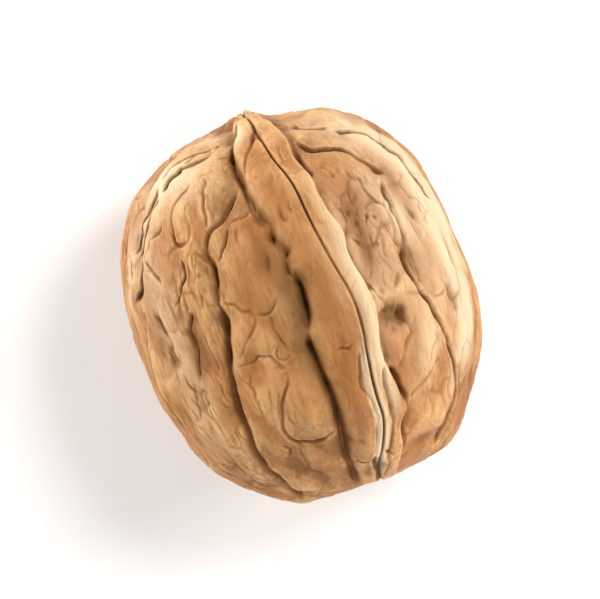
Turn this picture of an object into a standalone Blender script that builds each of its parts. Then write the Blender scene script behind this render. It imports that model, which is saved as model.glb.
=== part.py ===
"""A whole walnut in its shell, lying on its side with the seam up. It is one closed solid.

Every point of the shell lies on a ray from the middle of the nut, so the whole form is one
radius for each direction. A rounded smooth body comes first. The ridge along the seam, the
broad swellings and hollows, the furrows and the creases are then added to that radius.
+Y runs from the stem end to the tip, +Z is up, and the nut rests on a small flat spot at Z = 0.
Lengths are in millimetres until the mesh is placed, which turns them into metres.
"""

import math

import bmesh
import bpy
import numpy as np

MM = 0.001
NODE = "walnut_shell"

# Driving dimensions, in millimetres
HALF_LENGTH = 20.0  # from the middle towards the tip and the stem end
HALF_CHEEK = 17.3  # from the middle to a cheek, square to the seam
HALF_SEAM = 17.5  # from the middle to the seam, without its ridge
FULLNESS = 2.4  # exponent of the outline: 2 is an ellipse, more is squarer
REST_HEIGHT = 17.55  # the middle of the nut over the surface that it rests on

# The two ends. TIP, DOME, STEM_END and STEM_SIDE are places, and each shaping there has a height
# and a reach in degrees. The dome makes the tip's left side fuller, and the side of the stem end bulges
TIP = (1.0, 19.6, 1.9)
STEM_END = (1.1, -19.4, -1.4)
BLUNT_END = (-1.45, 25.0)
TIP_POINT = (0.8, 6.0)
DOME = (-1.3, 19.2, 0.8)
DOME_RISE = (1.35, 12.0)
STEM_DIMPLE = (-1.2, 12.0)
STEM_SIDE = (6.5, -18.0, 0.0)
STEM_SIDE_RISE = (0.6, 14.0)

# The seam's ridge
RIDGE_HEIGHT = 1.0
UNDER_RIDGE_HEIGHT = 0.5
RIDGE_SIDE = (0.35, 0.75)  # its sides fall from this far inside the edge to this far outside
SEAM_DEPTH, SEAM_WIDTH = 0.35, 0.22
STEM_SHARE, TIP_SHARE = 0.05, 0.4  # what is left of its height at the ends
STEM_RISE, TIP_RISE = (12, 42), (4, 25)  # degrees from each end over which it rises

# Values along the nut, as (y, value). Longitudes are degrees from straight up towards +X
SEAM_LONGITUDE = (
    (-20, 2), (-18, 6), (-15.5, 12.2), (-12, 15.8), (-5, 15.3), (-2, 16.2),
    (1, 14.6), (7, 12.6), (14, 10.5), (20, 5),
)
UNDER_LONGITUDE = ((-20, 3), (-14, 14), (-8, 17), (-1, 15), (5, 13), (12, 11), (20, 4))
RIDGE_LEFT = (
    (-20, 1.2), (-17.3, 2.2), (-13.9, 3.8), (-10.3, 4.0), (-7.5, 4.1), (-3.2, 4.7),
    (-1.3, 4.3), (2.4, 3.2), (4.7, 3.1), (6.9, 3.9), (9.7, 4.2), (13.9, 3.3), (17, 1.6), (20, 1),
)
RIDGE_RIGHT = (
    (-20, 1), (-17.3, 1.6), (-14.8, 1.8), (-11.7, 1.9), (-8.9, 1.3), (-3.2, 1.4),
    (2.4, 1.9), (7.5, 2.1), (12.8, 2), (16, 1.5), (20, 0.8),
)
UNDER_RIDGE = ((-20, 1), (-15, 2.5), (-10, 2.6), (-4, 3.1), (2, 2.5), (8, 3), (15, 2.4), (20, 1))

# Furrows and creases of the upper side, as depth, width and points (x, y) seen from above
FURROWS_BY_THE_RIDGE = (
    (0.75, 0.42, (
        (0.2, 18.5), (-0.3, 17.5), (-1.0, 16.2), (-1.3, 14.8), (-1.3, 12.3), (-1.2, 9.7),
        (-0.6, 6.9), (0.4, 4.8), (0.5, 2.4), (0.3, -0.4), (-0.1, -3.0), (-0.5, -4.9),
        (-0.5, -7.5), (-0.4, -10.3), (-0.6, -13.9), (-1.0, -17.3), (-1.2, -19.0),
    )),
    (0.45, 0.25, ((1.7, 17.2), (1.1, 15.7), (0.1, 14.4), (-1.1, 13.4))),
    (0.3, 0.45, ((1.1, 10.8), (0.7, 8.9), (1.0, 6.9), (0.5, 5.2))),
    (0.65, 0.35, ((4.5, 15.1), (4.9, 13.1), (5.5, 10.8), (5.8, 8.9))),
    (0.3, 0.4, (
        (5.8, 8.9), (6.0, 6.3), (6.2, 3.8), (6.3, 1.3), (6.7, -1.3), (6.5, -3.2),
        (6.0, -5.5), (5.6, -7.7),
    )),
    (0.4, 0.25, (
        (5.6, -7.7), (5.7, -9.2), (6.3, -10.8), (6.1, -12.8), (5.1, -14.5), (3.9, -16.8),
        (2.6, -18.5),
    )),
    (0.35, 0.22, ((5.0, -8.6), (4.9, -10.2), (4.9, -11.7), (4.3, -14.3), (2.9, -16.6))),
)
LONG_FURROWS = (
    (0.8, 0.42, (
        (-1.3, 12.2), (-3.1, 11.1), (-5.2, 9.5), (-6.5, 8.0), (-7.2, 6.3), (-7.5, 3.8),
        (-7.8, 0.7), (-8.5, -1.8), (-9.1, -4.6), (-9.6, -7.5), (-9.6, -10.3), (-9.0, -13.7),
        (-7.9, -16.6), (-6.6, -18.6),
    )),
    (0.38, 0.24, (
        (-13.5, 11.4), (-15.0, 8.0), (-15.4, 4.1), (-15.5, 0.1), (-15.9, -3.2), (-16.0, -5.5),
        (-15.4, -8.0), (-14.3, -10.8), (-12.9, -13.4), (-11.0, -15.8), (-9.3, -17.3),
    )),
    (0.7, 0.36, (
        (11.3, 10.1), (11.8, 8.0), (11.7, 6.3), (11.7, 3.8), (11.3, 1.3), (11.0, -0.7),
        (11.6, -3.0), (12.2, -5.5), (12.4, -8.3), (12.3, -11.4), (11.3, -14.0), (9.2, -16.7),
        (7.0, -18.3), (5.0, -19.1),
    )),
)
SHOULDER_GROOVES = (
    (0.28, 0.24, (
        (-3.1, 18.0), (-5.9, 17.5), (-8.8, 16.6), (-11.0, 15.2), (-13.0, 13.1), (-14.4, 10.6),
        (-15.2, 8.4),
    )),
    (0.4, 0.25, (
        (-1.0, 17.4), (-2.6, 17.0), (-5.4, 16.6), (-8.2, 15.7), (-10.7, 14.2), (-12.4, 12.5),
        (-13.8, 10.0),
    )),
    (0.4, 0.25, (
        (-1.4, 15.9), (-4.5, 15.4), (-7.1, 14.7), (-9.3, 13.4), (-11.6, 11.2), (-13.1, 8.9),
    )),
    (0.3, 0.22, ((-5.4, 14.4), (-8.2, 13.7), (-10.5, 12.1), (-11.7, 10.3))),
    (0.34, 0.24, ((5.4, 16.8), (7.3, 16.2), (9.5, 15.2), (11.5, 13.6), (12.9, 11.7), (13.6, 10.0))),
    (0.4, 0.25, ((4.9, 15.0), (6.7, 14.1), (8.4, 13.1), (9.8, 11.7), (11.3, 10.1))),
    (0.25, 0.22, ((10.0, 16.2), (12.2, 14.3), (13.9, 12.3), (15.1, 9.7), (15.8, 6.9), (16.1, 4.6))),
)
PLATE_EDGES = (
    (0.3, 0.22, (
        (-7.1, 13.7), (-8.5, 13.1), (-9.3, 11.7), (-9.7, 10.3), (-9.0, 9.3), (-8.2, 9.4),
        (-7.6, 10.6), (-6.9, 12.2),
    )),
    (0.3, 0.22, ((-4.5, 13.9), (-5.4, 12.5), (-5.8, 10.8), (-5.9, 9.6))),
    (0.32, 0.22, ((-6.6, 1.8), (-6.0, 1.3), (-5.1, 0.6), (-3.6, 0.0), (-2.5, 0.6), (-2.2, 1.3))),
    (0.25, 0.2, ((-4.4, 0.3), (-5.4, -1.3), (-5.9, -2.7), (-6.6, -3.8))),
    (0.28, 0.2, ((-3.1, -0.1), (-3.3, -1.8), (-3.0, -3.2), (-1.9, -4.5), (-0.7, -5.1))),
    (0.28, 0.2, ((-7.6, -3.9), (-6.5, -3.7), (-5.4, -3.4), (-4.2, -3.7), (-3.6, -4.7), (-2.9, -5.4))),
    (0.36, 0.22, (
        (-1.9, -4.5), (-3.1, -5.6), (-4.3, -7.2), (-5.1, -9.2), (-5.4, -11.1), (-4.5, -13.1),
        (-3.1, -13.8), (-1.2, -13.5), (-0.6, -12.6),
    )),
    (0.25, 0.2, ((-7.1, -4.1), (-5.9, -5.8), (-5.9, -7.7), (-6.2, -9.4), (-5.8, -11.7), (-4.8, -13.9))),
    (0.34, 0.24, ((-10.7, 2.4), (-11.6, 0.7), (-12.0, -1.3), (-12.3, -3.2), (-12.4, -5.1))),
    (0.3, 0.22, ((-13.0, 8.6), (-12.7, 7.2), (-12.0, 5.7))),
    (0.28, 0.22, ((-14.3, 2.8), (-14.6, 5.2), (-14.4, 6.9), (-13.5, 9.7))),
    (0.28, 0.22, ((8.1, 10.3), (9.3, 8.6), (10.7, 6.9), (11.4, 6.1))),
    (0.25, 0.22, ((6.5, 8.0), (7.6, 6.3), (8.4, 5.5))),
    (0.25, 0.22, ((7.0, 4.6), (7.9, 3.0), (7.6, 1.3))),
    (0.28, 0.2, ((9.3, -5.6), (8.4, -7.5), (7.4, -8.9), (6.4, -9.9))),
    (0.25, 0.2, ((11.4, -9.2), (9.8, -10.6), (7.9, -11.5), (6.2, -12.5))),
)

# Hollows and swellings of the upper side seen from above: x, y, reach across, reach along,
# turn in degrees, and height, which is below zero for a hollow
FORMS = (
    (0.45, 0.8, 0.45, 2.4, 0, -0.9),
    (-0.6, -4.7, 0.4, 0.9, 0, -0.6),
    (-7.4, 5.0, 0.45, 1.7, 5, -0.45),
    (-7.9, 0.2, 0.45, 1.3, 10, -0.4),
    (8.7, 6.0, 2.2, 4.8, 0, -0.75),
    (7.9, -4.4, 1.5, 1.5, 0, -0.6),
    (9.1, -4.6, 0.45, 0.65, 0, -0.95),
    (11.15, -1.2, 0.45, 1.5, 10, -0.5),
    (-14.1, 2.4, 0.35, 0.9, -15, -0.8),
    (-13.8, -1.3, 0.7, 0.6, 0, -0.3),
    (1.45, 18.3, 0.3, 0.8, 0, -0.45),
    (-1.3, 16.3, 0.3, 0.6, 50, -0.45),
    (-3.6, 5.2, 2.4, 4.0, 0, 0.4),
    (-2.9, -9.6, 1.9, 3.4, 0, 0.35),
    (-11.9, -9.0, 2.2, 5.0, 0, 0.25),
    (14.0, 2.0, 1.9, 5.0, 0, 0.3),
    (9.4, -9.5, 2.0, 3.6, 0, 0.35),
    (9.6, -1.9, 0.6, 1.6, 70, 0.35),
)

# The sides and the underside, whose furrows and net of plates follow a rule
HIDDEN_LONGITUDES = (78, 96, 118, 138, 158, 176, 212, 232, 250, 270)
HIDDEN_SEED, NET_SEED = 11, 4
FURROW_ENDS = (11.0, 16.5)  # how far from the middle, along Y, a furrow begins and stops
FURROW_POINTS = 9
FURROW_WANDER = 2.6  # degrees of longitude from one point to the next
CELL_GAP = 1.9  # least distance between the middles of two plates
CELL_DRAWS = 450
CELL_STRETCH = 0.45  # the plates are drawn out along the nut by the inverse of this
NET_DEPTH, NET_WIDTH = 0.38, 0.24
REST_SWELL = (0.8, 7.0, 0.4)  # x, reach and height of the gentle swelling that the nut lies on

# Random fields, as seed, shortest wave, longest wave and height
WOBBLES = ((21, 1.6, 4.0, 0.12), (22, 1.6, 4.0, 0.12), (23, 1.6, 4.0, 0.12))  # along X, Y and Z
UNEVENNESS = (31, 2.0, 6.0, 0.28)
NET_FADING = (33, 4.0, 9.0, 0.5)
BROAD_RELIEF = ((41, 6.0, 14.0, 0.2), (42, 2.5, 5.0, 0.07))
BROAD_STRETCH = 1.6  # the broad relief is drawn out along the nut

# The mesh: the fine sphere that takes the relief, and the triangles that are kept
SPHERE_CUTS = 7
TRIANGLES = 11000


def unit(vectors):
    vectors = np.asarray(vectors, float)
    return vectors / np.linalg.norm(vectors, axis=-1, keepdims=True)


def ease(x, start, end):
    """0 before start, 1 after end, smooth in between."""
    t = np.clip((x - start) / (end - start), 0, 1)
    return t * t * (3 - 2 * t)


def value_along(y, knots):
    """A smooth curve through a few (y, value) knots, read at y."""
    places, values = np.array(knots, float).T
    slopes = np.gradient(values, places)
    y = np.clip(y, places[0], places[-1])
    i = np.clip(np.searchsorted(places, y) - 1, 0, len(places) - 2)
    gap = places[i + 1] - places[i]
    t = (y - places[i]) / gap
    late = t * t * (3 - 2 * t)
    bend = gap * (slopes[i] * t * (1 - t) ** 2 - slopes[i + 1] * t * t * (1 - t))
    return values[i] * (1 - late) + values[i + 1] * late + bend


def waves(points, seed, shortest, longest, height, stretch=1.0, count=28):
    """A smooth random field at points, mostly within twice the height."""
    draw = np.random.default_rng(seed)
    lengths = np.exp(draw.uniform(math.log(shortest), math.log(longest), count))
    ways = unit(draw.normal(size=(count, 3))) * (2 * math.pi / lengths)[:, None]
    ways[:, 1] /= stretch
    phases = draw.uniform(0, 2 * math.pi, count)
    return height * math.sqrt(2 / count) * np.cos(points @ ways.T + phases).sum(1)


def shaping(rays, place, height, reach):
    """A round swelling, or a hollow if its height is below zero, of the given reach in degrees."""
    angle = np.degrees(np.arccos(np.clip(rays @ unit(place), -1, 1)))
    return height * np.exp(-((angle / reach) ** 2))


def smooth_radius(rays):
    """The rounded body with its blunt, pointed tip and its dimpled stem end."""
    across = np.hypot(rays[:, 0] / HALF_CHEEK, rays[:, 2] / HALF_SEAM)
    along = np.abs(rays[:, 1]) / HALF_LENGTH
    radius = (across**FULLNESS + along**FULLNESS) ** (-1 / FULLNESS)
    radius += shaping(rays, TIP, *BLUNT_END) + shaping(rays, TIP, *TIP_POINT)
    radius += shaping(rays, DOME, *DOME_RISE)
    return radius + shaping(rays, STEM_END, *STEM_DIMPLE) + shaping(rays, STEM_SIDE, *STEM_SIDE_RISE)


def on_body(rays):
    return rays * smooth_radius(rays)[:, None]


def seen_from_above(places):
    """The points of the smooth body's upper side that stand over these (x, y) places."""
    places = np.asarray(places, float)
    aim = places.copy()
    for _ in range(4):
        girth = np.clip(1 - (np.abs(aim[:, 1]) / HALF_LENGTH) ** FULLNESS, 1e-4, None)
        left = girth ** (2 / FULLNESS) - (aim[:, 0] / HALF_CHEEK) ** 2
        height = HALF_SEAM * np.sqrt(np.clip(left, 1e-3, None))
        points = on_body(unit(np.column_stack([aim, height])))
        aim += 0.7 * (places - points[:, :2])
    return points


def from_seam(points):
    """The distance across the surface from the nearer seam, and whether it is the upper one."""
    tipwards = np.clip(points[:, 1] / TIP[1], 0, None) ** 4
    stemwards = np.clip(points[:, 1] / STEM_END[1], 0, None) ** 4
    x = points[:, 0] - tipwards * TIP[0] - stemwards * STEM_END[0]
    z = points[:, 2] - tipwards * TIP[2] - stemwards * STEM_END[2]
    longitude = np.degrees(np.arctan2(x, z))
    upper = longitude - value_along(points[:, 1], SEAM_LONGITUDE)
    under = longitude - value_along(points[:, 1], UNDER_LONGITUDE)
    under = under % 360 - 180
    is_upper = np.abs(upper) < np.abs(under)
    return np.radians(np.where(is_upper, upper, under)) * np.hypot(x, z), is_upper


def seam_ridge(points):
    """The raised band on both sides of the seam, less the fine groove of the seam itself."""
    offset, is_upper = from_seam(points)
    y = points[:, 1]
    side = np.where(offset < 0, value_along(y, RIDGE_LEFT), value_along(y, RIDGE_RIGHT))
    width = np.where(is_upper, side, value_along(y, UNDER_RIDGE))
    distance = np.abs(offset)
    crown = 1 - 0.4 * np.minimum(distance / width, 1.2) ** 2
    edge = 1 - ease(distance, width - RIDGE_SIDE[0], width + RIDGE_SIDE[1])
    height = np.where(is_upper, RIDGE_HEIGHT, UNDER_RIDGE_HEIGHT) * crown * edge
    to_stem = np.degrees(np.arccos(-unit(points)[:, 1]))
    height *= STEM_SHARE + (1 - STEM_SHARE) * ease(to_stem, *STEM_RISE)
    height *= TIP_SHARE + (1 - TIP_SHARE) * ease(180 - to_stem, *TIP_RISE)
    return height - SEAM_DEPTH * np.exp(-((distance / SEAM_WIDTH) ** 2))


def line_through(points, spacing=0.25):
    """A smooth line on the body through points, with a point every so many millimetres."""
    ends = [2 * points[0] - points[1]], [2 * points[-1] - points[-2]]
    knots = np.vstack([ends[0], points, ends[1]])
    line = []
    for before, a, b, after in zip(knots, knots[1:], knots[2:], knots[3:]):
        count = max(2, int(np.linalg.norm(b - a) / spacing))
        t = np.arange(count)[:, None] / count
        line.append(0.5 * (
            2 * a + (b - before) * t + (2 * before - 5 * a + 4 * b - after) * t**2
            + (3 * a - before - 3 * b + after) * t**3
        ))
    return on_body(unit(np.vstack([*line, points[-1:]])))


def nearest_on(line, points):
    """The distance from each point to a line, and how far along the line that is, 0 to 1."""
    squares = (points**2).sum(1)[:, None] + (line**2).sum(1) - 2 * points @ line.T
    nearest = squares.argmin(1)
    distance, place = np.full(len(points), np.inf), np.zeros(len(points))
    for first in (nearest - 1, nearest):
        first = np.clip(first, 0, len(line) - 2)
        start, way = line[first], line[first + 1] - line[first]
        share = np.clip(((points - start) * way).sum(1) / (way**2).sum(1), 0, 1)
        found = np.linalg.norm(points - start - way * share[:, None], axis=1)
        better = found < distance
        distance[better] = found[better]
        place[better] = (first + share)[better] / (len(line) - 1)
    return distance, place


def furrow_section(distance, width):
    """A narrow cut with wide soft shoulders, which make what lies between two furrows bulge."""
    return 0.6 * np.exp(-((distance / width) ** 2)) + 0.4 * np.exp(-((distance / (3.4 * width)) ** 2))


def furrow(points, line, depth, width):
    """The depth that one furrow takes at each point. It runs out at both ends."""
    reach = 10 * width
    close = ((points > line.min(0) - reach) & (points < line.max(0) + reach)).all(1)
    distance, place = nearest_on(line, points[close])
    length = np.linalg.norm(np.diff(line, axis=0), axis=1).sum()
    fade = 0.15 + 0.85 * ease(np.minimum(place, 1 - place) * length, 0, 1.6)
    cut = np.zeros(len(points))
    varied = depth * fade * (1 + waves(points[close], *UNEVENNESS))
    cut[close] = varied * furrow_section(distance, width * (0.75 + 0.25 * fade))
    return cut


def hidden_furrows():
    """Long wandering furrows of the sides and the underside, as (depth, width, line)."""
    draw = np.random.default_rng(HIDDEN_SEED)
    for longitude in HIDDEN_LONGITUDES:
        y = np.linspace(draw.uniform(*FURROW_ENDS), -draw.uniform(*FURROW_ENDS), FURROW_POINTS)
        wander = np.cumsum(draw.normal(0, FURROW_WANDER, FURROW_POINTS))
        angle = np.radians(longitude + wander - wander.mean())
        girth = HALF_SEAM * np.sqrt(1 - (y / HALF_LENGTH) ** 2)
        points = np.column_stack([girth * np.sin(angle), y, girth * np.cos(angle)])
        yield draw.uniform(0.4, 0.8), draw.uniform(0.26, 0.42), line_through(points)


def plate_net(points):
    """How far each point is from the wall between two of the long plates that cover the shell."""
    stretch = np.array([1, CELL_STRETCH, 1])
    draws = on_body(unit(np.random.default_rng(NET_SEED).normal(size=(CELL_DRAWS, 3)))) * stretch
    middles = draws[:1]
    for place in draws[1:]:
        if np.linalg.norm(middles - place, axis=1).min() > CELL_GAP:
            middles = np.vstack([middles, place])
    wall = []
    for part in np.array_split(points * stretch, 16):
        squares = (part**2).sum(1)[:, None] + (middles**2).sum(1) - 2 * part @ middles.T
        two = np.argsort(squares, axis=1)[:, :2]
        near, far = np.take_along_axis(squares, two, 1).T
        apart = np.linalg.norm(middles[two[:, 0]] - middles[two[:, 1]], axis=1)
        wall.append((far - near) / (2 * apart))
    return np.concatenate(wall)


def carving(points):
    """The depth of all furrows and creases together. Where they cross, the deeper one leads."""
    cubes = np.zeros(len(points))
    for depth, width, places in FURROWS_BY_THE_RIDGE + LONG_FURROWS + SHOULDER_GROOVES + PLATE_EDGES:
        line = line_through(seen_from_above(places))
        cubes += furrow(points, line, depth, width) ** 3
    for depth, width, line in hidden_furrows():
        cubes += furrow(points, line, depth, width) ** 3
    hidden = 1 - 0.75 * ease(points[:, 2], 1, 9)
    faded = np.clip(0.55 + waves(points, *NET_FADING), 0, 1)
    net = NET_DEPTH * hidden * faded * furrow_section(plate_net(points), NET_WIDTH)
    return np.cbrt(cubes + net**3)


def form(points, x, y, across, along, turn, height):
    """One hollow or swelling of the upper side, oval and turned on the surface."""
    middle = seen_from_above([(x, y)])[0]
    outward = unit(middle)
    ahead = unit(np.array([0, 1, 0]) - outward * outward[1])
    sideways = np.cross(ahead, outward)
    c, s = math.cos(math.radians(turn)), math.sin(math.radians(turn))
    u, v = (points - middle) @ sideways, (points - middle) @ ahead
    oval = ((c * u - s * v) / across) ** 2 + ((s * u + c * v) / along) ** 2
    facing = points @ outward > 0
    return height * facing * np.exp(-oval)


def shell_radius(rays):
    """The finished shell's radius in millimetres, for each direction from the middle."""
    radius = smooth_radius(rays)
    points = rays * radius[:, None]
    wavering = points + np.column_stack([waves(points, *each) for each in WOBBLES])
    x, reach, height = REST_SWELL
    away = (points[:, 0] - x) ** 2 + points[:, 1] ** 2
    under = np.exp(-away / reach**2) * (points[:, 2] < 0)
    broad = sum(waves(points, *each, BROAD_STRETCH) for each in BROAD_RELIEF)
    forms = sum(form(wavering, *each) for each in FORMS)
    return (
        radius + seam_ridge(wavering) - carving(wavering) + forms
        + broad * (1 - 0.8 * under) + height * under
    )


def relief_mesh():
    """A fine sphere whose points are moved out to the shell's radius."""
    mesh = bpy.data.meshes.new(NODE)
    fine = bmesh.new()
    bmesh.ops.create_icosphere(fine, subdivisions=SPHERE_CUTS, radius=1)
    fine.to_mesh(mesh)
    fine.free()
    rays = np.empty(3 * len(mesh.vertices))
    mesh.vertices.foreach_get("co", rays)
    rays = unit(rays.reshape(-1, 3))
    points = rays * shell_radius(rays)[:, None] + (0, 0, REST_HEIGHT)
    mesh.vertices.foreach_set("co", (points * MM).ravel())
    mesh.update()
    return mesh


def thinned(shell):
    """Gives the object fewer triangles, and keeps the ones that the relief needs."""
    thin = shell.modifiers.new("fewer_triangles", "DECIMATE")
    thin.ratio = TRIANGLES / len(shell.data.polygons)
    graph = bpy.context.evaluated_depsgraph_get()
    fewer = bpy.data.meshes.new_from_object(shell.evaluated_get(graph))
    shell.modifiers.remove(thin)
    shell.data = fewer


def flattened(mesh):
    """Cuts the mesh level at Z = 0, where it rests, and sets it square over the origin."""
    work = bmesh.new()
    work.from_mesh(mesh)
    whole = work.verts[:] + work.edges[:] + work.faces[:]
    cut = bmesh.ops.bisect_plane(work, geom=whole, plane_no=(0, 0, -1), clear_outer=True)
    rim = [edge for edge in cut["geom_cut"] if isinstance(edge, bmesh.types.BMEdge)]
    bmesh.ops.contextual_create(work, geom=rim)
    low = [min(v.co[axis] for v in work.verts) for axis in (0, 1)]
    high = [max(v.co[axis] for v in work.verts) for axis in (0, 1)]
    shift = (-(low[0] + high[0]) / 2, -(low[1] + high[1]) / 2, 0)
    bmesh.ops.translate(work, vec=shift, verts=work.verts[:])
    work.to_mesh(mesh)
    work.free()


def shell_material():
    material = bpy.data.materials.new("walnut_shell")
    material.use_nodes = True
    surface = material.node_tree.nodes["Principled BSDF"]
    surface.inputs["Base Color"].default_value = (0.55, 0.33, 0.16, 1)
    surface.inputs["Roughness"].default_value = 0.55
    surface.inputs["Metallic"].default_value = 0.0
    return material


def main():
    for old in list(bpy.data.objects):
        bpy.data.objects.remove(old)
    walnut = bpy.data.collections.new("walnut")
    bpy.context.scene.collection.children.link(walnut)
    shell = bpy.data.objects.new(NODE, relief_mesh())
    walnut.objects.link(shell)
    thinned(shell)
    flattened(shell.data)
    shell.data.materials.append(shell_material())
    shell.data.shade_smooth()


main()
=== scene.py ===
"""A whole walnut in its shell, lying on a pale floor with its seam up and seen from above.

The shell is one mesh. Every point of it lies on a ray from the middle of the nut, so its form is
one radius for each direction: a rounded body, the ridge along the seam, broad swellings and
hollows, furrows and creases, and then the fine relief that only shows close up. The same fields
colour it with painted light and shade: each furrow is painted dark where it is deep, as painted
shade, and each crest is painted pale, partly its own paler colour and partly painted highlight.
Lengths are in millimetres until the mesh is placed, which turns them into metres.
"""

import math

import bpy
import numpy as np
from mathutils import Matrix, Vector, noise


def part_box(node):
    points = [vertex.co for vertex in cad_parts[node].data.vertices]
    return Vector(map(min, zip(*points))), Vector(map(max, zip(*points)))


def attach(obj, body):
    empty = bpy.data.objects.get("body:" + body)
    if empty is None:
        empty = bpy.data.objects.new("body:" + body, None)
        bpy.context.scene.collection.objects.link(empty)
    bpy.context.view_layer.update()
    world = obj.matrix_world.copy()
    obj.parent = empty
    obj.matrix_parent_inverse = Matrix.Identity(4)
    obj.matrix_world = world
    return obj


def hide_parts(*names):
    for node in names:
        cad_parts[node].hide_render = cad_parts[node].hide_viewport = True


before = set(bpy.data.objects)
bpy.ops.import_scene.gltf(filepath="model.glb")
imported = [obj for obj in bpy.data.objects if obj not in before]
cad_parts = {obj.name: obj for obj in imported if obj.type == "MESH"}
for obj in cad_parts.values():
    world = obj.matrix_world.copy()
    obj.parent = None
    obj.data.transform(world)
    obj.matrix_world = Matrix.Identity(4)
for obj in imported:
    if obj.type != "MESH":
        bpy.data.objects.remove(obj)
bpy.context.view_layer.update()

MM = 0.001
NODE = "walnut_shell"

# The smooth body
HALF_LENGTH = 20.0  # from the middle towards the tip and the stem end
HALF_CHEEK = 17.3  # from the middle to a cheek, square to the seam
HALF_SEAM = 17.5  # from the middle to the seam, without its ridge
FULLNESS = 2.4  # exponent of the outline: 2 is an ellipse, more is squarer
REST_HEIGHT = 17.55  # the middle of the nut over the surface that it rests on

# The two ends. TIP, DOME, STEM_END and STEM_SIDE are places, and each shaping there has a height
# and a reach in degrees. The dome makes the tip's left side fuller, and STEM_SIDE bulges
TIP = (1.0, 19.6, 1.9)
STEM_END = (1.1, -19.4, -1.4)
BLUNT_END = (-1.45, 25.0)
TIP_POINT = (0.8, 6.0)
DOME = (-1.3, 19.2, 0.8)
DOME_RISE = (1.35, 12.0)
STEM_DIMPLE = (-1.2, 12.0)
STEM_SIDE = (6.5, -18.0, 0.0)
STEM_SIDE_RISE = (0.6, 14.0)

# The seam's ridge
RIDGE_HEIGHT = 1.0
UNDER_RIDGE_HEIGHT = 0.5
RIDGE_SIDE = (0.25, 0.4)  # its sides fall from this far inside the edge to this far outside
SEAM_DEPTH, SEAM_WIDTH = 0.35, 0.12
CROWN = 0.22  # how much lower the ridge is at its edge than at the seam
CROWN_REACH = 1.2  # how far out it goes on falling, in widths of the ridge
SEAM_BEND = 4  # power by which the seam's plane bends towards the tip and the stem end
STEM_SHARE, TIP_SHARE = 0.05, 0.4  # what is left of its height at the ends
STEM_RISE, TIP_RISE = (12, 42), (4, 25)  # degrees from each end over which it rises

# Values along the nut, as (y, value). Longitudes are degrees from straight up towards +X
SEAM_LONGITUDE = (
    (-20, 0.5), (-17.4, 5.1), (-16.1, 7.9), (-14.4, 10.9), (-13.2, 12.3), (-11, 12.6), (-8.7, 13.3),
    (-6, 14.2), (-4.6, 15), (-2.8, 15.4), (-1, 15), (1, 13.8), (3, 12.6), (4.9, 11.8), (7.5, 11.5),
    (10.3, 10.9), (11.9, 10), (13.3, 8.7), (15.2, 7.4), (17.3, 6.8), (20, 5),
)
UNDER_LONGITUDE = ((-20, 3), (-14, 14), (-8, 17), (-1, 15), (5, 13), (12, 11), (20, 4))
RIDGE_LEFT = (
    (-20, 1.4), (-18, 2.3), (-16, 3.2), (-14, 3.7), (-12, 3.8), (-10, 3.8), (-8, 4.1), (-6, 4.4),
    (-4.2, 4.9), (-3, 4.8), (-2, 4.3), (-1, 3.95), (0, 3.6), (1.2, 3.35), (2.3, 3.3), (3.2, 3.6),
    (4, 3.5), (4.9, 3.1), (6, 3.4), (7.5, 3.7), (8.3, 3.8), (9.5, 4.3), (11, 4.1), (13, 3.5),
    (15.5, 3.1), (17, 2.1), (20, 1),
)
RIDGE_RIGHT = (
    (-20, 1.2), (-17.5, 2.2), (-16.4, 2.4), (-15.2, 2.1), (-14.3, 2.2), (-13, 2.7), (-12, 2.55),
    (-10.5, 2.3), (-9, 1.85), (-7, 1.65), (-4, 1.8), (-2, 1.7), (0, 1.9), (1.5, 1.85), (3, 2),
    (5, 2.6), (6.5, 2.1), (9, 1.85), (11, 2.05), (13.5, 2.15), (15, 2.4), (17, 1.8), (20, 0.8),
)

# Two pale strips beside the seam near the stem end: the distances from the seam over which each
# fades, and how far towards the stem end both begin and end
LEFT_STRIP, LEFT_STRIP_START = (-0.95, -0.75), (4.5, 8)
RIGHT_STRIP, RIGHT_STRIP_START = (0.45, 0.6), (4, 8)
STRIPS_END = (17, 19)

# How dark the seam's crack is, as its own dark line and painted shade, and the width of the ridge on
# the underside, along the nut
SEAM_DARKNESS = ((-20, 1), (-6, 0.9), (-3, 0.55), (3, 0.55), (6, 0.85), (20, 0.9))
UNDER_RIDGE = ((-20, 1), (-15, 2.5), (-10, 2.6), (-4, 3.1), (2, 2.5), (8, 3), (15, 2.4), (20, 1))

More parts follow.
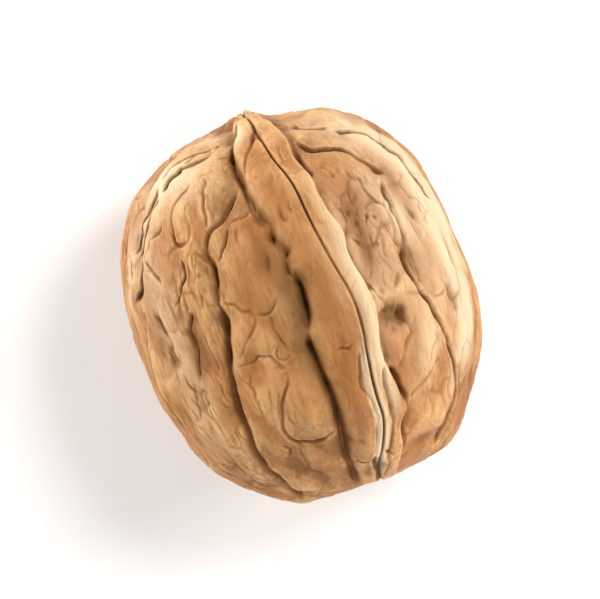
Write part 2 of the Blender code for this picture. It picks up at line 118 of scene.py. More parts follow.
# Furrows and creases of the upper side, as depth, width and points (x, y) seen from above
FURROWS_BY_THE_RIDGE = (
    (0.25, 0.14, ((1, 19.7), (0.6, 19.4), (0.23, 19), (0, 18.5))),
    (0.12, 0.13, ((-0.4, 19.7), (-1.3, 19.3), (-2, 18.9), (-2.8, 18.5))),
    (0.5, 0.2, ((0.1, 18.3), (-0.57, 17.03), (-0.9, 16.7), (-1.3, 16.2), (-1.5, 15.5), (-1.45, 14.6))),
    (0.8, 0.32, (
        (-1.5, 15.8), (-1.4, 14.3), (-1.25, 12.7), (-1.23, 11.4), (-1.07, 10.4), (-1.12, 9.6),
        (-1.35, 8.8),
    )),
    (0.7, 0.42, (
        (-1.1, 10.6), (-0.75, 9.2), (-0.3, 8), (-0.24, 6.8), (0.2, 5.6), (0.45, 4.8), (0.15, 4),
        (0, 3.2), (0.2, 2.2),
    )),
    (1, 0.42, (
        (0.3, 3.4), (0.55, 2.3), (0.6, 1.3), (0.5, 0.15), (0.3, -0.97), (0.05, -2), (-0.15, -2.9),
        (-0.3, -3.5),
    )),
    (1.1, 0.4, (
        (-0.25, -2.8), (-0.55, -4.3), (-0.45, -5.2), (-0.5, -6.5), (-0.4, -8.4), (-0.35, -10.3),
        (-0.55, -12.1), (-0.65, -14.2), (-0.9, -15.2),
    )),
    (0.7, 0.35, (
        (-0.6, -13.2), (-0.8, -14.6), (-1, -15.8), (-0.95, -16.9), (-1.04, -18.4), (-1.1, -19.3),
    )),
    (0.35, 0.2, (
        (1.75, 17.5), (1.36, 16.84), (0.9, 15.9), (0.5, 15.24), (0.05, 14.77), (-0.4, 14.1),
        (-0.8, 13.36), (-1.2, 12.7),
    )),
    (0.3, 0.25, ((1.4, 9.7), (1.2, 9.06), (1.1, 7.9), (1.38, 7.35), (1.2, 6.9))),
    (0.2, 0.3, ((1.3, 7), (1.2, 6.2), (0.9, 5.6))),
    (0.6, 0.26, (
        (4.5, 14.9), (4.6, 14), (4.65, 13.46), (4.83, 12.6), (5.1, 11.67), (5.2, 11.2), (5.38, 10.6),
    )),
    (0.35, 0.4, ((5.3, 10.9), (5.5, 9.5), (5.65, 8.5), (5.8, 7), (5.95, 5.8))),
    (0.28, 0.35, (
        (6.9, 6.2), (6.75, 5.2), (6.2, 4.1), (6.05, 3), (6.15, 1.5), (6.5, -0.1), (6.65, -1.1),
        (6.55, -2.1),
    )),
    (0.2, 0.25, ((5.95, -7.2), (5.8, -8.4), (5.9, -9.3))),
    (0.75, 0.28, ((5.85, -8.9), (6.05, -9.8), (6.2, -10.5), (6.1, -11.2), (6.3, -12.3), (6.2, -13.3))),
    (0.3, 0.22, ((6.2, -13), (5.7, -13.8), (5.3, -14.4), (4.95, -15.3), (4.75, -16.4), (4.2, -17.3))),
    (0.35, 0.16, (
        (5.3, -8.2), (5, -9), (4.74, -9.7), (4.55, -10.6), (4.42, -11.5), (4.35, -12.1), (4.3, -12.7),
        (4.27, -13.6), (3.9, -14.5), (3.4, -15.5), (3.05, -16.26), (2.67, -16.8), (2.55, -17.6),
        (2.1, -18.3), (1.64, -19.07),
    )),
    (0.22, 0.13, (
        (3.55, -5.9), (3.3, -6.7), (3.05, -7.6), (2.86, -8.3), (2.5, -9), (2.45, -9.6), (2.77, -10.26),
        (2.96, -11), (2.9, -11.95), (2.95, -12.5), (2.67, -13.3), (2.3, -14.3), (1.92, -15.3),
        (1.45, -16.4),
    )),
    (0.6, 0.2, ((1.5, -16.2), (1.36, -17), (1.3, -17.8), (1.25, -18.5), (0.95, -19.4))),
    (0.1, 0.1, ((3.9, -5.3), (3.7, -6.2), (3.5, -7.4), (3.4, -8.6))),
    (0.25, 0.13, ((0.9, -5.45), (1.4, -5.4), (2.1, -5.4), (2.5, -5.6), (3.24, -5.2))),
    (0.28, 0.14, ((-0.8, -16.16), (-0.33, -16.35), (0.33, -16.8), (0.9, -16.9), (1.4, -16.9))),
    (0.15, 0.12, ((3.05, 15), (3.05, 14.5), (3, 13.5), (3.2, 12.7))),
)
LONG_FURROWS = (
    (0.5, 0.22, (
        (-1.5, 12.5), (-2.2, 12.25), (-3.1, 11.6), (-3.8, 11), (-4.33, 10.47), (-4.8, 10.1),
        (-5.3, 9.8), (-6.1, 9.45), (-6.6, 9), (-6.9, 8.3), (-7.18, 7.4),
    )),
    (0.8, 0.3, (
        (-6.7, 8.8), (-7.18, 7.5), (-7, 6.8), (-6.94, 6.15), (-7.15, 5.4), (-7.3, 4.65), (-7.6, 4.1),
        (-7.7, 3.4), (-7.85, 2.8), (-7.75, 1.8),
    )),
    (0.95, 0.4, (
        (-7.8, 3), (-7.75, 1.56), (-7.7, 0.8), (-7.95, 0), (-8.2, -1), (-8.5, -2), (-8.8, -2.95),
        (-9, -3.7), (-9.3, -5), (-9.65, -6.5), (-9.74, -8.2), (-9.64, -9.3), (-9.48, -10.6),
        (-9.6, -12.1), (-9.5, -13), (-9.2, -14), (-8.9, -14.9), (-8.5, -15.6), (-8.04, -16.6),
        (-7.66, -17.57), (-7.3, -18.1), (-6.8, -18.8),
    )),
    (0.3, 0.2, ((-7.4, 7), (-7.6, 6.2), (-7.65, 5.5), (-7.9, 4.9))),
    (0.25, 0.18, ((-9.65, -6.7), (-10.1, -7.15))),
    (0.4, 0.2, (
        (-15.84, -6.2), (-15.84, -6.9), (-15.7, -7.7), (-15.46, -8.75), (-15.2, -9.8), (-14.9, -10.6),
        (-14.5, -11.66), (-14.15, -12.3), (-13.3, -13.6), (-12.3, -14.8),
    )),
    (0.2, 0.3, (
        (-15.1, 5.2), (-15.2, 4), (-15.5, 2.6), (-15.9, 0.8), (-16.2, -1.3), (-16.4, -3), (-16.1, -5),
        (-15.85, -6.5),
    )),
    (0.38, 0.26, (
        (11.9, 9), (11.8, 8.4), (11.7, 7.1), (11.8, 6.15), (11.6, 5.4), (11.8, 4.55), (11.9, 3.5),
        (11.9, 2.4), (11.56, 1.2),
    )),
    (0.85, 0.23, (
        (11.75, 1.9), (11.5, 1), (11.27, 0.25), (11.18, -0.7), (11.25, -1.44), (11.3, -2.4),
        (11.3, -3.04), (11.5, -3.6), (11.74, -4.35), (11.84, -5.2), (11.95, -6.04), (12.1, -6.8),
        (12.2, -7.7), (12.3, -8.75), (12.35, -9.5),
    )),
    (0.85, 0.2, (
        (12.2, -8), (12.35, -10), (12.4, -10.9), (12.3, -11.85), (12.2, -12.6), (11.9, -13.5),
        (11.5, -14.6), (11, -15.2), (10.5, -15.9), (10.05, -16.5), (9.5, -17.1), (8.8, -17.65),
        (8.3, -18.05), (7.6, -18.6),
    )),
)
SHOULDER_GROOVES = (
    (0.65, 0.22, (
        (-9, 15.55), (-9.9, 14.87), (-10.5, 14.44), (-11.4, 13.65), (-12.2, 13.1), (-12.65, 12.3),
        (-13.2, 11.5), (-13.5, 10.94), (-13.87, 10.47), (-14.2, 10),
    )),
    (0.5, 0.2, (
        (-8.7, 15.6), (-8.37, 15.8), (-7.7, 16.5), (-7.15, 16.8), (-6.3, 17.1), (-5.64, 17.26),
        (-4.6, 17.35), (-3.4, 17.3), (-2.6, 17.15),
    )),
    (0.6, 0.21, (
        (-9.4, 14.9), (-10, 14.3), (-10.5, 13.9), (-11.05, 13.27), (-11.5, 12.7), (-12, 12.1),
        (-12.55, 11.5), (-12.93, 10.94), (-13.3, 10.37), (-13.8, 9.8),
    )),
    (0.6, 0.2, (
        (-9.2, 14.6), (-8.84, 14.77), (-8.2, 15.34), (-7.5, 15.8), (-6.96, 16.1), (-6.6, 16.46),
        (-5.64, 16.5), (-5.2, 16.4), (-3.95, 16.6), (-3, 16.65), (-2.5, 16.9),
    )),
    (0.4, 0.18, ((-6.4, 16.7), (-5.8, 16.75), (-5.2, 16.9), (-4.1, 17.07))),
    (0.3, 0.25, ((-14.3, 10.3), (-14.43, 9.72), (-14.7, 8.87), (-14.8, 7.74), (-14.9, 7.2))),
    (0.55, 0.25, (
        (-13.3, 9.9), (-13.5, 9.25), (-13.87, 8.3), (-14.15, 7.46), (-14.43, 6.7), (-15, 6.24),
        (-15.56, 5.5),
    )),
    (0.2, 0.3, ((-14.9, 5.1), (-15.1, 4), (-15.4, 3.05))),
    (0.5, 0.22, ((5.6, 17), (5.75, 16.5), (6.43, 16.04), (7.18, 15.85), (8.1, 15.66), (8.8, 15.4))),
    (0.5, 0.22, (
        (8.8, 15.05), (9.3, 14.85), (10.15, 14.5), (11, 14.2), (11.65, 13.79), (12.12, 13.36),
        (12.5, 12.9), (12.96, 12.42), (13.34, 12), (13.7, 11.3), (14.3, 10.4), (14.56, 9.4),
        (14.9, 8.4), (15.2, 7.56), (15.45, 6.6), (15.7, 4.9),
    )),
    (0.6, 0.25, (
        (5.05, 15.15), (5.2, 14.96), (5.6, 14.68), (6.15, 14.26), (6.7, 14.02), (7.46, 13.8),
        (8.1, 13.55), (8.55, 13.4), (9.1, 13.04), (9.58, 12.5), (9.96, 12.05), (10.3, 11.6),
        (10.8, 11.1), (11.4, 10.56), (11.8, 10), (12.1, 9.6), (12.5, 8.9),
    )),
)
PLATE_EDGES = (
    (0.31, 0.17, (
        (-5.64, 14.26), (-6.3, 14.35), (-7.24, 14.1), (-7.8, 13.74), (-8.46, 13.27), (-8.84, 12.8),
        (-9.15, 12.2), (-9.36, 11.3), (-9.74, 10.2), (-9.55, 9.6), (-9, 9.25), (-8.4, 9.2), (-8.1, 9.6),
        (-7.85, 10.3), (-7.7, 10.94), (-7.5, 11.8),
    )),
    (0.31, 0.17, (
        (-4.1, 14.6), (-4.6, 14.2), (-4.6, 13.83), (-5.08, 13.36), (-5.4, 12.7), (-5.64, 12.05),
        (-5.74, 11.4), (-5.83, 10.84), (-6.07, 10.3), (-6.16, 9.5),
    )),
    (0.31, 0.17, (
        (-4.2, 9.5), (-4.4, 9.15), (-4.7, 8.4), (-5.08, 7.74), (-5.55, 7.2), (-6.1, 6.5), (-6.7, 6.2),
    )),
    (0.36, 0.18, ((-13, 9.1), (-12.9, 8.87), (-12.74, 8), (-12.5, 7.1), (-12.2, 6.15))),
    (0.28, 0.17, ((-12, 10.75), (-11.4, 11.03), (-10.6, 11.36), (-10, 12.05))),
    (0.31, 0.18, (
        (-9.7, 8.2), (-9.74, 7.74), (-9.83, 6.7), (-10, 6.2), (-10.6, 5.6), (-11.05, 4.74),
        (-11.6, 4.1), (-12, 3.4),
    )),
    (0.36, 0.18, ((-14.45, 4.1), (-14.2, 3.1), (-13.95, 2.4), (-14.1, 1.6))),
    (0.4, 0.2, (
        (-10.4, 2.9), (-10.9, 2.3), (-11.4, 1.66), (-11.7, 1.1), (-11.76, 0.06), (-11.8, -0.97),
        (-12.1, -1.9), (-12.3, -2.66), (-12.33, -3.5), (-12.46, -4.26),
    )),
    (0.28, 0.2, ((-1.4, 5.87), (-1.6, 5.1), (-1.75, 4.55), (-1.75, 3.7), (-1.9, 2.9))),
    (0.24, 0.2, (
        (-7.5, 2.5), (-6.2, 1.9), (-5.93, 1.47), (-5.64, 1), (-5.08, 0.76), (-4.8, 0.15), (-4.94, -0.5),
        (-5.46, -1.16), (-6.1, -1.63), (-6.7, -2.2), (-7.3, -2.9), (-8.2, -3.5),
    )),
    (0.25, 0.19, ((-4.9, 0.5), (-4.33, 0.2), (-3.67, -0.03), (-3, 0.1), (-2.5, 0.6), (-1.7, 1.5))),
    (0.24, 0.19, (
        (-3.2, 0.05), (-3.25, -0.3), (-3.3, -1.07), (-3.34, -1.7), (-3.2, -2.5), (-2.9, -3.5),
        (-2.45, -4.17), (-1.9, -4.54), (-1.3, -4.8), (-0.7, -5),
    )),
    (0.22, 0.19, (
        (-8.4, -3.8), (-7.2, -3.9), (-6.3, -3.98), (-5.74, -3.6), (-5.27, -3.8), (-4.6, -3.9),
        (-4.24, -4.45), (-4.05, -4.9), (-3.8, -5.5), (-3.5, -6.1),
    )),
    (0.32, 0.2, (
        (-3.4, -5.9), (-3.7, -6.5), (-4, -7.06), (-4.3, -7.4), (-4.7, -7.9), (-5.08, -8.4),
        (-5.36, -9.1), (-5.64, -10.07), (-5.93, -10.9), (-5.88, -11.76), (-5.64, -12.6),
        (-5.17, -13.17), (-4.7, -13.3), (-4.14, -13.6), (-3.6, -13.8), (-2.83, -13.8), (-2.26, -13.6),
        (-1.4, -13.17), (-0.95, -12.7),
    )),
    (0.34, 0.17, (
        (8.45, 10.8), (8.65, 10.56), (8.97, 9.8), (9.6, 9.4), (9.77, 8.6), (10.05, 7.84), (10.5, 7.1),
        (10.9, 6.5), (11.2, 6.1),
    )),
    (0.28, 0.14, ((11.35, -1.6), (11.9, -2.3), (12.07, -2.8))),
    (0.29, 0.2, ((8.6, -2.1), (9, -1.8), (9.4, -1.44), (10.05, -0.7), (10.3, -0.4))),
    (0.31, 0.22, (
        (9.4, -4.1), (9.05, -4.6), (8.9, -5), (9.1, -5.6), (9.16, -6.3), (9.1, -6.7), (8.55, -7.16),
        (8, -8), (7.65, -8.57), (7.3, -9.1), (6.7, -9.7), (6.3, -10),
    )),
    (0.28, 0.17, (
        (11.2, -9.7), (10.8, -10.07), (10.2, -10.4), (9.6, -10.87), (8.9, -11.4), (8.36, -11.76),
        (7.84, -11.95), (7.1, -12.4), (6.4, -12.6),
    )),
)
FINE_CREASES = (
    (0.18, 0.15, ((-3.2, -3.1), (-3.7, -3.4), (-4, -4.1), (-3.4, -4.7), (-2.7, -4.5), (-2.3, -4.2))),
    (0.16, 0.15, ((-4.9, -5.3), (-4.4, -5), (-3.7, -5.5), (-3.5, -6.1))),
    (0.2, 0.17, ((-4.7, -7), (-5.4, -8.3), (-5.8, -9.8), (-5.9, -11.2))),
    (0.16, 0.15, ((-6.9, -6.9), (-7.2, -8.2), (-7, -9.6))),
    (0.18, 0.15, ((-2.8, 2.9), (-2.4, 1.9), (-2.5, 0.6))),
    (0.15, 0.15, ((-8.6, 1.4), (-9.3, 0.7), (-9.6, -0.6), (-9.5, -1.8))),
    (0.15, 0.15, ((-10.3, -3.2), (-10.7, -4.3), (-10.5, -5.6), (-10.9, -6.8))),
    (0.15, 0.15, ((-13.4, -2.7), (-13.6, -3.9), (-13.2, -5), (-13.4, -6.2))),
    (0.18, 0.15, ((2.2, 9.6), (2, 8.4), (2.2, 7.4))),
    (0.15, 0.15, ((9.2, 3.6), (9.6, 2.7), (9.4, 1.6), (9.9, 0.7))),
    (0.15, 0.15, ((14.2, 6.9), (14.5, 5.8), (14.3, 4.6), (14.6, 3.4))),
    (0.14, 0.15, ((14.1, -1.2), (14.5, -2.4), (14.3, -3.6))),
    (0.28, 0.14, ((-1.5, 15.8), (-1.9, 15.8), (-2.45, 15.66), (-3, 15.3))),
    (0.22, 0.13, ((-1.6, 15.4), (-2.08, 15.24), (-2.8, 15.05))),
    (0.25, 0.15, ((-1.23, 12.66), (-1.9, 12.42), (-2.36, 12.2), (-2.83, 12.05))),
    (0.15, 0.2, ((-11.2, 10), (-11.25, 9.5), (-11.5, 8.9))),
    (0.2, 0.14, ((-9, 7.4), (-9.3, 6.5), (-9.7, 5.6))),
    (0.25, 0.16, ((-3.3, 9.3), (-3.63, 8.2), (-3.67, 7.46), (-3.5, 6.7))),
    (0.35, 0.2, ((-1.5, 6.9), (-1, 6.85), (-0.5, 6.8), (-0.1, 6.8))),
    (0.27, 0.18, ((-1.3, 10.3), (-1.7, 10.15), (-2.2, 9.8), (-2.8, 9.75), (-3.5, 9.85), (-4.2, 9.5))),
    (0.16, 0.13, ((-4.5, -3.6), (-4.14, -3.3), (-3.77, -3.1), (-3.3, -3.05))),
    (0.16, 0.15, ((-6.9, -4.3), (-7, -5), (-7.3, -5.7), (-7.8, -6.4))),
    (0.14, 0.16, ((-5.6, -6.6), (-5.85, -7.3), (-6.1, -8.3), (-6.35, -9.3), (-6.2, -10))),
    (0.15, 0.2, ((-7.1, -8.5), (-7.3, -9.2), (-7.6, -10.07), (-7.8, -10.6))),
    (0.15, 0.2, ((-7.9, -8.2), (-8.2, -8.6), (-8.5, -9))),
    (0.3, 0.15, ((-7.05, -12.3), (-6.6, -13.07), (-6.25, -13.45), (-6.4, -13.9), (-6.65, -14.4))),
    (0.2, 0.13, ((-6.25, -13.45), (-5.46, -13.26))),
    (0.14, 0.25, ((-8.3, -12.2), (-8.27, -12.9), (-8.3, -13.6))),
    (0.2, 0.16, ((-1.9, -14.3), (-1.4, -14.2), (-0.8, -14.3))),
    (0.12, 0.3, ((-6.3, -16.7), (-6, -17.2), (-5.74, -17.66))),
    (0.14, 0.16, ((-10.6, -7.8), (-10.6, -8.3), (-10.5, -9))),
    (0.14, 0.16, ((-12.3, -7.8), (-12.3, -8.4))),
    (0.14, 0.16, ((-11.7, -8.9), (-11.6, -9.4))),
    (0.14, 0.16, ((-12.1, -10.7), (-12.1, -11.4), (-11.9, -12.3))),
    (0.14, 0.16, ((-15.65, -3.9), (-15.5, -4.9))),
    (0.25, 0.16, ((12, -3.98), (12.5, -4.1), (13.06, -4.17), (13.6, -3.9), (13.9, -3.3))),
    (0.25, 0.16, ((8.27, 11.2), (9, 11))),
    (0.25, 0.16, ((6.9, 7.6), (6.9, 7.37), (7, 6.6), (7, 5.87), (6.85, 5.3))),
    (0.28, 0.16, ((8, 6.7), (8.27, 6.4), (8.7, 6))),
    (0.25, 0.16, ((7.9, 5.8), (8.1, 5.5), (8.4, 5.2))),
    (0.22, 0.15, ((7, 4.2), (7.4, 3.7), (8, 3.2))),
    (0.22, 0.25, ((6.9, -4.6), (7.05, -5.1), (7.56, -5.8))),
    (0.12, 0.25, ((10.05, -11.6), (9.96, -12.5), (9.9, -13.5), (9.7, -14.6), (9.4, -15.4))),
    (0.12, 0.2, ((14.7, -8.4), (14.4, -8.9), (14.1, -9.6))),
    (0.12, 0.25, ((5.8, -14.86), (6.4, -14.9), (7.2, -14.8))),
    (0.1, 0.14, ((4.46, 17.5), (4.9, 17.2))),
)

# Patches of the upper side seen from above: x, y, reach across, reach along, turn in degrees, and
# height or strength. A height below zero makes a hollow
SWELLINGS = (
    (-3.8, 5.4, 2.2, 4, 0, 0.6),
    (-2.9, -9.8, 1.7, 3.2, 0, 0.5),
    (-7.6, 11.6, 0.9, 1.9, 10, 0.25),
    (-6.6, -1.2, 0.9, 1.3, 0, 0.25),
    (-4.2, -2.3, 0.7, 1.2, 0, 0.2),
    (-11.9, -9, 2.2, 5, 0, 0.25),
    (14, 2, 1.9, 5, 0, 0.3),
    (9.4, -9, 1.8, 2.4, 0, 0.45),
    (9, -14.2, 2, 1.8, 0, 0.3),
    (9.6, -1.9, 0.6, 1.6, 70, 0.35),
    (5.6, 4.5, 0.6, 2.2, 0, 0.25),
    (5.4, -1, 0.5, 3, 0, 0.15),
    (5.3, -11.5, 0.7, 2.2, 0, 0.35),
)
HOLLOWS = (
    (8.7, 6, 2.2, 4.8, 0, -0.75),
    (8, -4.3, 1.6, 1.4, 0, -0.9),
    (8.95, -4.7, 0.4, 0.8, 12, -0.8),
    (7.5, -4.1, 0.5, 0.6, 0, -0.35),
    (-14, 2.4, 0.3, 0.85, -12, -0.8),
    (-13.9, -1.4, 0.6, 0.6, 0, -0.3),
    (-1.5, 15.65, 0.3, 0.5, 30, -0.6),
    (1.4, 18.5, 0.25, 0.8, -5, -0.5),
    (-2.45, 17.1, 0.3, 0.3, 0, -0.45),
    (-0.24, 6.8, 0.3, 0.4, 0, -0.35),
    (0.5, 4.8, 0.3, 0.35, 30, -0.5),
    (-3.25, 12.8, 0.25, 0.25, 0, -0.2),
    (-8.25, 0.9, 0.4, 0.9, 0, -0.5),
    (4.36, -12.1, 0.16, 0.5, 0, -0.3),
    (2.85, -16.5, 0.2, 0.5, -40, -0.4),
    (3.7, -17.95, 0.4, 0.4, 0, -0.3),
    (12.5, -3.2, 0.5, 0.9, 0, -0.25),
    (13.4, 4.2, 0.4, 0.7, 0, -0.25),
    (14.2, 3.5, 0.3, 0.4, 0, -0.12),
    (7.3, 10.56, 0.25, 0.25, 0, -0.25),
    (7.56, 6.8, 0.3, 0.3, 0, -0.3),
    (7.93, 5.5, 0.25, 0.25, 0, -0.2),
    (9.16, 5.7, 0.25, 0.25, 0, -0.2),
    (9.8, 5.4, 0.25, 0.25, 0, -0.2),
    (9.1, 2.67, 0.3, 0.3, 0, -0.2),
    (6.66, -1.07, 0.25, 0.3, 0, -0.2),
    (6.6, -2.1, 0.2, 0.3, 0, -0.2),
    (7.56, -1.7, 0.3, 0.3, 0, -0.25),
    (7.4, -3.8, 0.35, 0.3, 0, -0.2),
    (7.56, -5.76, 0.3, 0.35, 0, -0.2),
    (0.8, -14.5, 0.35, 0.5, 0, -0.15),
    (-8.46, 5.7, 0.25, 0.3, 0, -0.2),
    (-8.37, 4.1, 0.25, 0.3, 0, -0.2),
    (-8.84, 3.6, 0.25, 0.3, 0, -0.2),
    (-3, -5.2, 0.3, 0.25, 0, -0.15),
    (-3.77, -6.04, 0.3, 0.25, 0, -0.15),
    (-1.23, -0.8, 0.25, 0.3, 0, -0.12),
    (-1.4, -2.2, 0.25, 0.3, 0, -0.12),
)
# Painted highlights: pale cream patches where the light falls brightest, on the cheeks, the shoulders
# and the tip
PAINTED_HIGHLIGHTS = (
    (15.4, 2, 2.8, 9, 0, 1.4),
    (9, 1, 4, 8, 0, 0.35),
    (5.6, 1, 1, 8, 0, 0.8),
    (-13.5, 4, 2.5, 7, 0, 0.45),
    (5.2, -9, 0.8, 4, 0, 0.8),
    (-8, 16, 5, 2.5, 20, 0.9),
    (12.2, 12.8, 2.6, 6, -37, 1),
    (-15.5, 9, 1.5, 6, 0, 0.5),
    (-0.3, 17.2, 0.75, 2.2, 8, 1.4),
    (-12, 12.6, 1.8, 6, 40, 0.7),
    (-13, -6.5, 2.2, 6, 15, 0.28),
    (14.4, -8.5, 1.7, 4.5, 24, 0.9),
    (11.8, 5.5, 1.5, 4.5, -10, 0.75),
    (10.6, -7.8, 1.5, 4.5, 20, 0.5),
    (-4, 18.4, 3.5, 1.3, 10, 0.9),
)
# Orange patches: partly the shell's own orange tone, and partly painted shade that darkens the middle,
# the tip and the ridge's lower band
WARM_TONE_AND_SHADE = (
    (1.8, 2.5, 2.2, 10, 0, 0.9),
    (-3.4, 4.5, 2.8, 7.5, 0, 0.65),
    (-2.2, -8.5, 3, 5, 0, 0.6),
    (7.5, -10, 2, 4, 0, 0.5),
    (8.6, 7, 2.2, 4.5, 0, 0.4),
    (0.4, 14.6, 1, 1.8, 0, 0.9),
    (1.5, -11, 1.4, 4.5, 0, 0.8),
    (5.6, -11.6, 1.4, 3.5, 0, 0.8),
)
# Painted shade: olive-brown patches in the hollows, the pit, beside the ridge and over the middle,
# where shade falls
PAINTED_SHADE_PATCHES = (
    (8, -4.3, 1.3, 1.2, 0, 0.9),
    (-1.5, 15.7, 0.5, 0.6, 0, 0.8),
    (1.4, 18.4, 0.35, 0.9, -5, 0.9),
    (-2.45, 17.1, 0.4, 0.4, 0, 0.6),
    (1.9, -17.5, 0.35, 1.1, -10, 0.9),
    (3.7, -17.95, 0.5, 0.5, 0, 0.6),
    (12.7, 8.6, 0.5, 1.2, 0, 0.5),
    (-15.5, 5.6, 0.5, 0.8, 0, 0.6),
    (-8.3, 0.9, 0.5, 1, 0, 0.6),
    (-0.6, 0.8, 1.5, 4.5, 0, 0.75),
    (-1.2, -5, 1.1, 4, 0, 0.6),
    (-3.3, 12.3, 2.2, 2.6, 0, 0.35),
    (-4, 3, 3.5, 8, 0, 0.15),
    (2, -3, 1.5, 8, 0, 0.2),
    (-8.6, -3.5, 1, 6, 8, 0.35),
    (-7.6, 5.5, 0.9, 3, 0, 0.3),
    (1.8, -10.5, 1.1, 4, 0, 0.12),
    (5.9, -11, 1, 2.5, 0, 0.2),
)
WRINKLED = (
    (8.6, 7, 2.6, 5, 0, 1),
    (-12.5, -6, 3.5, 10, 0, 0.9),
    (-9.5, 4, 3, 6, 0, 0.9),
    (8, -1.5, 1.5, 2.5, 0, 0.7),
)

# The sides and the underside, whose furrows and net of plates follow a rule
HIDDEN_LONGITUDES = (78, 96, 118, 138, 158, 176, 212, 232, 250, 270)
HIDDEN_SEED, NET_SEED = 11, 4
HIDDEN_DEPTH, HIDDEN_WIDTH = (0.4, 0.8), (0.26, 0.42)
FURROW_ENDS = (11.0, 16.5)  # how far from the middle, along Y, a furrow begins and stops
FURROW_POINTS = 9
FURROW_WANDER = 2.6  # degrees of longitude from one point to the next
CELL_GAP = 1.9  # least distance between the middles of two plates
CELL_DRAWS = 450
CELL_STRETCH = 0.45  # the plates are drawn out along the nut by the inverse of this
BATCHES = 64  # the plates' walls are looked for in this many lots of points, to save memory
NET_DEPTH, NET_WIDTH, NET_CRACK = 0.3, 0.24, 0.3
NET_SHARE, NET_DARKNESS = 0.55, 0.7  # how much of the net shows, and how dark the painted shade in its cracks is
NET_ON_TOP, UPPER_SIDE = 0.5, (0, 5)  # its strength on the upper side, and heights over the middle
NET_BESIDE_RIDGE = (4, 7)  # distances from the upper seam over which it fades in
CALM_UNDER = 0.8  # how much weaker the broad relief is where the nut rests
REST_SWELL = (0.8, 7.0, 0.4)  # x, reach and height of the gentle swelling that the nut lies on

# Random fields, as seed, shortest wave, longest wave and height
WAVE_COUNT = 28
WOBBLES = ((21, 1.2, 3.0, 0.025), (22, 1.2, 3.0, 0.025), (23, 1.2, 3.0, 0.025))  # along X, Y and Z
NET_WOBBLES = ((24, 1.6, 4.0, 0.22), (25, 1.6, 4.0, 0.22), (26, 1.6, 4.0, 0.22))
UNEVENNESS = (31, 2.0, 6.0, 0.18)
NET_FADING = (33, 4.0, 9.0, 0.5)
BROAD_RELIEF = (41, 6.0, 14.0, 0.2)
SMALLER_RELIEF = (42, 2.4, 5.5, 0.15)
SMALLER_BELOW, SMALLER_RISE = 0.3, (2, 10)  # its share low down, and heights over which it grows
BROAD_STRETCH = 1.6  # the broad relief is drawn out along the nut
BROAD_SHARE = 0.45  # share of the broad relief in the painted highlight on crests and painted shade in hollows

# Fine relief
FURROW_REACH = (2.0, 6.0)  # how far away a furrow is felt: millimetres, and more by its widths
RUN_OUT = (0.5, 3.0)  # the same for the length over which it runs out at each end
END_DEPTH, END_WIDTH = 0.1, 0.6  # shares of its depth and its width that are left there
LINE_SPACING = 0.25  # between the points of a furrow's line
SHOULDER = 0.5  # share of a furrow's depth that is in its soft shoulders
SHOULDER_REACH = (0.45, 2.5)  # their width: millimetres, and more by the widths of the cut
LIP_PLACE, LIP_HEIGHT = 2.2, 0.12  # the raised rim of a furrow, in its widths and its depths
FOLD_SIDES = (0.55, 1.7)  # width of a shoulder groove's steep side and of its gentle one, as shares
CRACK_DEPTH, CRACK_WIDTH = 0.1, 0.14  # the sharp bottom of every furrow
CRACK_SHARE = 0.3  # how much of that depth the shallowest furrows have
CRACK_DARKNESS = (0.15, 0.8, 0.3)  # painted shade at a furrow's bottom: at least, more by its depth, and more in a fold
CRACK_LIMIT = 1.3  # the most that unevenness makes of it

# Layers of wrinkles, as two seeds, shortest and longest wave, depth, width and share. The second
# seed is that of the gaps, whose waves and height follow
WRINKLES = ((55, 65, 1.8, 3.4, 0.13, 0.28, 0.5), (56, 66, 1.1, 2.0, 0.07, 0.32, 0.4))
WRINKLE_GAPS = (2.0, 5.0, 0.7)
WRINKLE_STRETCH = 3.0  # the wrinkles run along the nut
WRINKLES_ELSEWHERE = 0.5  # how strong they are outside their patches
WRINKLES_BELOW, BELOW = 0.4, (0, 6)  # more of them low down, and heights over which that ends
# painted shade in the wrinkles' creases
WRINKLE_DARKNESS = 0.4
DIMPLES = (1.05, 0.08)  # wavelength and height of the soft unevenness between the creases

# How strongly the fields colour the shell
# the second is how pale the painted highlight patches make the shell
STRIP_PALENESS, PAINTED_HIGHLIGHT_PALENESS = 0.6, 0.62
RISE_ROUNDS, SWELL_ROUNDS = 10, 400  # rounds of averaging that "rise" and "swell" are taken against

# The mesh
GRID_LEVEL = 8  # each side of the sphere's cube has 2 to this power of squares each way
GRID_PULL = 0.5  # how far the grid is drawn together towards the upper side
TRIANGLES = 197000

# The view
TURN = -20.4  # degrees: the tip points to the upper left of the picture
LENS = 220.0
FIELD = 61.0  # millimetres across the picture at the nut's outline

# The floor and the light. Each light is a name, its place in the picture, its width and its power
FLOOR_COLOUR, FLOOR_ROUGHNESS = (0.88, 0.87, 0.87, 1), 0.6
FLOOR_GLOW_COLOUR, FLOOR_GLOW = (1, 0.98, 0.98, 1), 0.02  # lightens the shadow
LIGHT_COLOUR = (1.0, 0.98, 0.96)
LIGHTS = (
    ("top", (120, 100, 260), 110, 0.6),
    ("right", (300, 110, 110), 110, 0.75),
    ("left", (-290, 130, 90), 130, 1.35),
    ("front", (60, -280, 120), 130, 0.5),
)
SKY_COLOUR, SKY_STRENGTH = (1.0, 0.98, 0.97, 1), 0.28

# The shell's colours, and the patterns in them: how much each is drawn out along the nut, scale,
# detail and roughness of its noise, and the values of the noise where it begins and is full
TAN = (0.4, 0.174, 0.053, 1)
PALE_TAN = (0.64, 0.385, 0.168, 1)
ORANGE = (0.35, 0.136, 0.034, 1)
DULL_BROWN = (0.22, 0.092, 0.025, 1)
CREAM = (0.78, 0.64, 0.43, 1)
# OLIVE_BROWN colours only the painted shade patches
OLIVE_BROWN = (0.14, 0.07, 0.016, 1)
